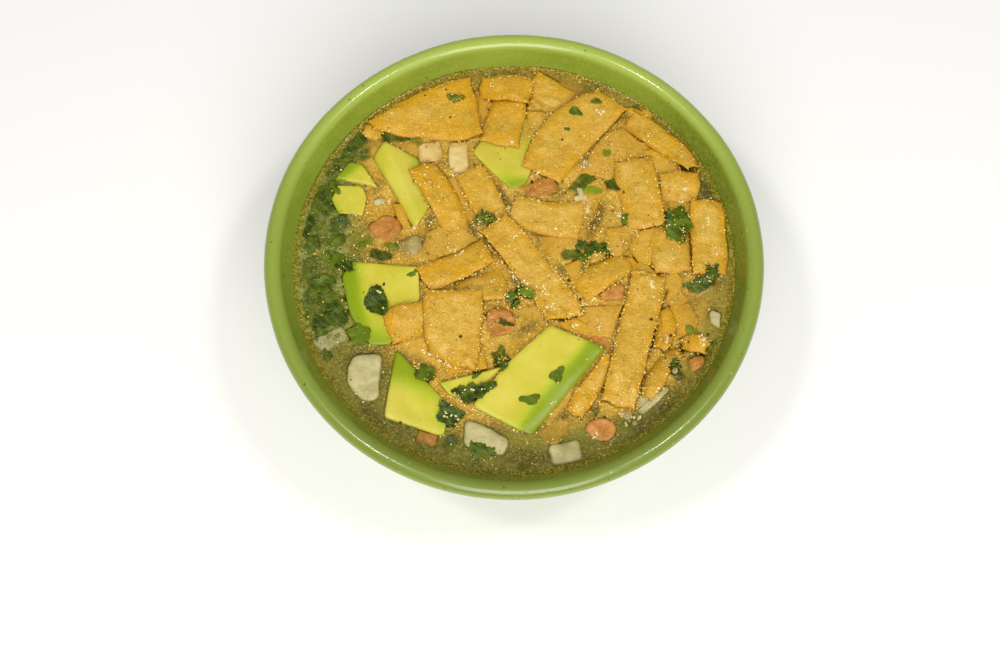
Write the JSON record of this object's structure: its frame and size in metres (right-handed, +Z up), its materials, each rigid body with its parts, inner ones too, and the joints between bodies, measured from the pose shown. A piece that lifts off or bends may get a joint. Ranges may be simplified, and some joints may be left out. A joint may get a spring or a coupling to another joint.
{
  "type": "bowl of tortilla soup",
  "caption": "Round footed bowl full of clear broth with fried tortilla strips, avocado chunks, onion, tomato and cilantro leaves floating at its surface.",
  "frame": {"origin": "centre of the foot ring's resting face", "axes": "+Z up out of the bowl, +Y towards the far side of the picture, +X to its right"},
  "size_m": [0.16, 0.1598, 0.07],
  "materials": {
    "glaze": "glossy light green stoneware glaze with fine dark pits",
    "broth": "clear golden-brown broth with oil drops, cloudy below",
    "tortilla": "fried corn tortilla, golden and mottled, wet with broth",
    "avocado": "smooth ripe flesh, yellow inside and green towards the skin side, wet",
    "onion": "translucent white onion, wet",
    "tomato": "soft red-brown tomato, wet",
    "cilantro": "dark green leaf with veins, wet"
  },
  "bodies": {
    "root": {"avocado_chunk_1": "avocado", "avocado_chunk_2": "avocado", "avocado_chunk_3": "avocado", "avocado_chunk_4": "avocado", "avocado_chunk_5": "avocado", "avocado_chunk_6": "avocado", "avocado_chunk_7": "avocado", "avocado_chunk_8": "avocado", "bowl": "glaze", "broth": "broth", "cilantro_leaf_01": "cilantro", "cilantro_leaf_02": "cilantro", "cilantro_leaf_03": "cilantro", "cilantro_leaf_04": "cilantro", "cilantro_leaf_05": "cilantro", "cilantro_leaf_06": "cilantro", "cilantro_leaf_07": "cilantro", "cilantro_leaf_08": "cilantro", "cilantro_leaf_09": "cilantro", "cilantro_leaf_10": "cilantro", "cilantro_leaf_11": "cilantro", "cilantro_leaf_12": "cilantro", "cilantro_leaf_13": "cilantro", "onion_cube_1": "onion", "onion_cube_2": "onion", "onion_cube_3": "onion", "onion_cube_4": "onion", "onion_cube_5": "onion", "onion_cube_6": "onion", "tomato_cube_1": "tomato", "tomato_cube_2": "tomato", "tomato_cube_3": "tomato", "tomato_cube_4": "tomato", "tomato_cube_5": "tomato", "tortilla_strip_01": "tortilla", "tortilla_strip_02": "tortilla", "tortilla_strip_03": "tortilla", "tortilla_strip_04": "tortilla", "tortilla_strip_05": "tortilla", "tortilla_strip_06": "tortilla", "tortilla_strip_07": "tortilla", "tortilla_strip_08": "tortilla", "tortilla_strip_09": "tortilla", "tortilla_strip_10": "tortilla", "tortilla_strip_11": "tortilla", "tortilla_strip_12": "tortilla", "tortilla_strip_13": "tortilla", "tortilla_strip_14": "tortilla", "tortilla_strip_15": "tortilla", "tortilla_strip_16": "tortilla", "tortilla_strip_17": "tortilla", "tortilla_strip_18": "tortilla", "tortilla_strip_19": "tortilla", "tortilla_strip_20": "tortilla", "tortilla_strip_21": "tortilla", "tortilla_strip_22": "tortilla", "tortilla_strip_23": "tortilla", "tortilla_strip_24": "tortilla", "tortilla_strip_25": "tortilla", "tortilla_strip_26": "tortilla"}
  },
  "joints": []
}
